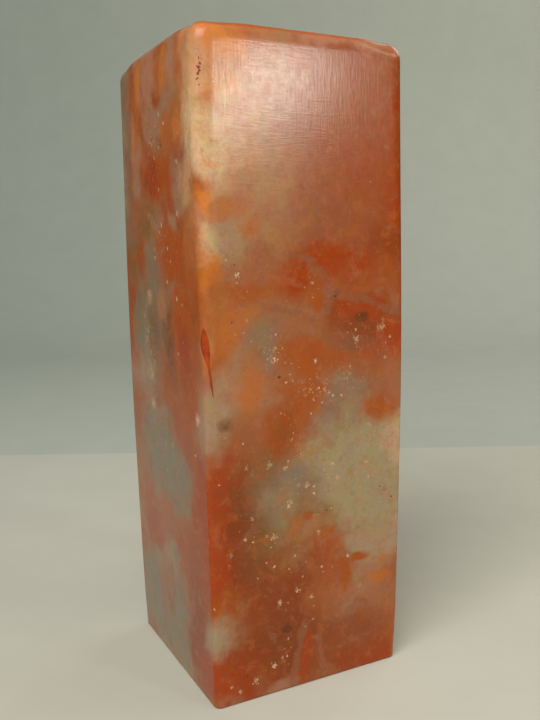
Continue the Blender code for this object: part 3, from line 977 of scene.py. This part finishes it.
def natural_colour(wires, place):
    """The clouds of minerals all through the stone, before the stains of the photographed faces."""
    drifted = wires.vector("ADD", place, wires.drift(place, *CLOUD_DRIFT))
    first = wires.grey_noise(drifted, *FIRST_CLOUD_NOISE)
    colour = covered(wires, opaque(MINERALS["pale_grey"]), first, *FIRST_CLOUD)
    for value, cloud in zip(wires.noise_parts(drifted, *LATER_CLOUD_NOISE), LATER_CLOUDS):
        colour = covered(wires, colour, value, *cloud)
    return colour


def stone_colour(wires, place):
    """The stone's colour at a place given in millimetres."""
    stains = Stains(wires, natural_colour(wires, place), place)
    stains.clouds("front", FRONT_CLOUDS)
    stains.clouds("left", LEFT_CLOUDS)
    stains.marks("front", FRONT_MARKS)
    stains.marks("left", LEFT_MARKS)
    stains.veins("front", FRONT_VEINS)
    stains.veins("left", LEFT_VEINS)
    for value, feather in zip(wires.noise_parts(stains.far, *FEATHER_NOISE), FEATHERS):
        stains.cover_where(value, *feather)
    pale_grit, dark_grit, warm_grit = wires.noise_parts(place, *GRIT_NOISE)
    stains.cover_where(warm_grit, *WARM_GRIT)
    crumb = wires.rise(pale_grit, CRUMB_START, CRUMB_END)
    stains.crumbs("front", FRONT_CRUMBS, crumb)
    stains.crumbs("left", LEFT_CRUMBS, crumb)
    stains.cover_where(dark_grit, *DARK_GRIT)
    height = wires.node("ShaderNodeSeparateXYZ", {0: place}).outputs["Z"]
    stains.cover_where(height, *RIM_STAIN)
    tint = wires.vector("ADD", wires.drift(place, *TINT_DRIFT), (1.0, 1.0, 1.0))
    tinted = wires.mix(1.0, stains.colour, tint, "MULTIPLY")
    return wires.shaded(tinted, wires.grey_noise(place, *SPECKLE_NOISE), *SPECKLE_SHADE)


def polished_stone():
    """Waxed, hand-polished stone with its clouds of minerals."""
    wires = Wiring("polished_stone")
    place = wires.object_millimetres()
    sockets = wires.shader.inputs
    wires.feed(sockets["Base Color"], stone_colour(wires, place))
    upright = wires.grey_noise(wires.scaled(place, UPRIGHT_MARKS), *MARK_NOISE)
    level = wires.grey_noise(wires.scaled(place, LEVEL_MARKS), *MARK_NOISE)
    dullness = wires.grey_noise(place, *DULLNESS_NOISE)
    wires.feed(sockets["Roughness"], wires.ramp(dullness, *STONE_ROUGHNESS))
    marks = {"Height": wires.math("ADD", upright, level), "Strength": MARK_STRENGTH, "Distance": MARK_DEPTH}
    wires.feed(sockets["Normal"], wires.node("ShaderNodeBump", marks).outputs[0])
    sockets["IOR"].default_value = STONE_IOR
    sockets["Subsurface Weight"].default_value = SUBSURFACE_WEIGHT
    sockets["Subsurface Radius"].default_value = SUBSURFACE_RADIUS
    sockets["Subsurface Scale"].default_value = SUBSURFACE_SCALE
    return wires.material


def grain_material(name, darker, lighter):
    """A grain's mineral, somewhere between two colours from place to place."""
    wires = Wiring(name)
    share = wires.rise(wires.grey_noise(wires.object_millimetres(), *GRAIN_NOISE), *GRAIN_MIX)
    wires.feed(wires.shader.inputs["Base Color"], wires.mix(share, opaque(darker), opaque(lighter)))
    wires.shader.inputs["Roughness"].default_value = GRAIN_ROUGHNESS
    wires.shader.inputs["IOR"].default_value = GRAIN_IOR
    return wires.material


def sideways():
    """The direction from the left to the right of the view, level."""
    return Vector((math.sin(CAMERA_HEADING), -math.cos(CAMERA_HEADING), 0.0))


def sheet_material(name, shaded_left_colour, lit_right_colour):
    """Plain studio paper with a faint unevenness, which gets lighter from its left to its right: that change
    is painted light.
    """
    wires = Wiring(name)
    place = wires.node("ShaderNodeTexCoord").outputs["Object"]
    aside = wires.node("ShaderNodeVectorMath", {0: place, 1: sideways()}, operation="DOT_PRODUCT")
    share = wires.rise(aside.outputs["Value"], -PAPER_SHIFT, PAPER_SHIFT)
    colour = wires.mix(share, opaque(shaded_left_colour), opaque(lit_right_colour))
    fibres = wires.grey_noise(place, *PAPER_NOISE)
    wires.feed(wires.shader.inputs["Base Color"], wires.shaded(colour, fibres, *PAPER_SHADE))
    wires.shader.inputs["Roughness"].default_value = PAPER_ROUGHNESS
    wires.shader.inputs["Specular IOR Level"].default_value = PAPER_SPECULAR
    return wires.material


def swept_sheet(name, profile, reach, material):
    """A sheet with a side view of (distance, height) points, square to the camera's heading."""
    ahead = Vector((math.cos(CAMERA_HEADING), math.sin(CAMERA_HEADING), 0.0))
    aside = sideways()
    foot = Vector((CAMERA_PLACE.x, CAMERA_PLACE.y, 0.0))
    mesh = bmesh.new()
    rows = []
    for distance, height in profile:
        middle = foot + ahead * distance + Vector((0.0, 0.0, height))
        rows.append([mesh.verts.new(middle - aside * reach), mesh.verts.new(middle + aside * reach)])
    for near, far in zip(rows, rows[1:]):
        mesh.faces.new((near[0], near[1], far[1], far[0]))
    data = bpy.data.meshes.new(name)
    mesh.to_mesh(data)
    mesh.free()
    data.shade_smooth()
    sheet = bpy.data.objects.new(name, data)
    bpy.context.scene.collection.objects.link(sheet)
    sheet.data.materials.append(material)


def cove_profile():
    """The backdrop's side view: flat from the seam, then a wide curve up into the wall."""
    points = [(SEAM_DISTANCE, 0.0)]
    for step in range(COVE_STEPS + 1):
        angle = math.pi / 2 * step / COVE_STEPS
        distance = WALL_DISTANCE - COVE_RADIUS + COVE_RADIUS * math.sin(angle)
        points.append((distance, COVE_RADIUS * (1.0 - math.cos(angle))))
    points.append((WALL_DISTANCE, WALL_HEIGHT))
    return points


def add_lamp(name, azimuth, elevation, distance, width, height, power, colour, slant):
    """A soft rectangular lamp that faces the upper part of the stone."""
    turn, lift = math.radians(azimuth), math.radians(elevation)
    towards = Vector((math.sin(turn) * math.cos(lift), -math.cos(turn) * math.cos(lift), math.sin(lift)))
    light = bpy.data.lights.new(name, "AREA")
    light.shape = "RECTANGLE"
    light.size = width
    light.size_y = height
    light.energy = power
    light.color = colour
    lamp = bpy.data.objects.new(name, light)
    aim = towards.to_track_quat("Z", "Y").to_matrix().to_4x4()
    spin = Matrix.Rotation(math.radians(slant), 4, "Z")
    lamp.matrix_world = Matrix.Translation(LAMP_TARGET + towards * distance) @ aim @ spin
    bpy.context.scene.collection.objects.link(lamp)


def add_lights():
    for lamp in LAMPS:
        add_lamp(*lamp)
    world = bpy.data.worlds.new("studio")
    bpy.context.scene.world = world
    world.use_nodes = True
    background = world.node_tree.nodes["Background"]
    background.inputs["Color"].default_value = WORLD_COLOUR
    background.inputs["Strength"].default_value = WORLD_STRENGTH


def add_camera():
    data = bpy.data.cameras.new("photo_camera")
    data.sensor_width = CAMERA_SENSOR
    data.lens = CAMERA_LENS
    data.clip_start = CAMERA_CLIP_START
    camera = bpy.data.objects.new("photo_camera", data)
    bpy.context.scene.collection.objects.link(camera)
    heading = Matrix.Rotation(CAMERA_HEADING - math.pi / 2, 4, "Z")
    pitch = Matrix.Rotation(math.pi / 2 + CAMERA_PITCH, 4, "X")
    roll = Matrix.Rotation(CAMERA_ROLL, 4, "Z")
    camera.matrix_world = Matrix.Translation(CAMERA_PLACE) @ heading @ pitch @ roll
    bpy.context.scene.camera = camera


def main():
    stone = stone_piece(polished_stone())
    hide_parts(NODE)
    pale = grain_material("pale_mineral", *PALE_TONES)
    grains_piece("pale_grains", PALE_GRAINS, pale, dusted=1, scattered=90)
    buff = grain_material("buff_mineral", *BUFF_TONES)
    grains_piece("buff_grains", BUFF_GRAINS, buff, dusted=5, scattered=60)
    dark = grain_material("dark_mineral", *DARK_TONES)
    grains_piece("dark_grains", DARK_GRAINS, dark, dusted=2, scattered=20)
    rust = grain_material("rust_mineral", *RUST_TONES)
    grains_piece("rust_grains", RUST_GRAINS, rust, dusted=0, scattered=14, slivers=RUST_SLIVERS)
    swept_sheet("floor", [(-STAGE_REACH, 0.0), (SEAM_DISTANCE, 0.0)], STAGE_REACH,
                sheet_material("pale_paper", *FLOOR_COLOURS_LIT_RIGHT))
    swept_sheet("backdrop", cove_profile(), WALL_REACH, sheet_material("grey_paper", *WALL_COLOURS_LIT_RIGHT))
    add_lights()
    add_camera()
    bpy.context.scene.view_settings.view_transform = "Standard"


main()
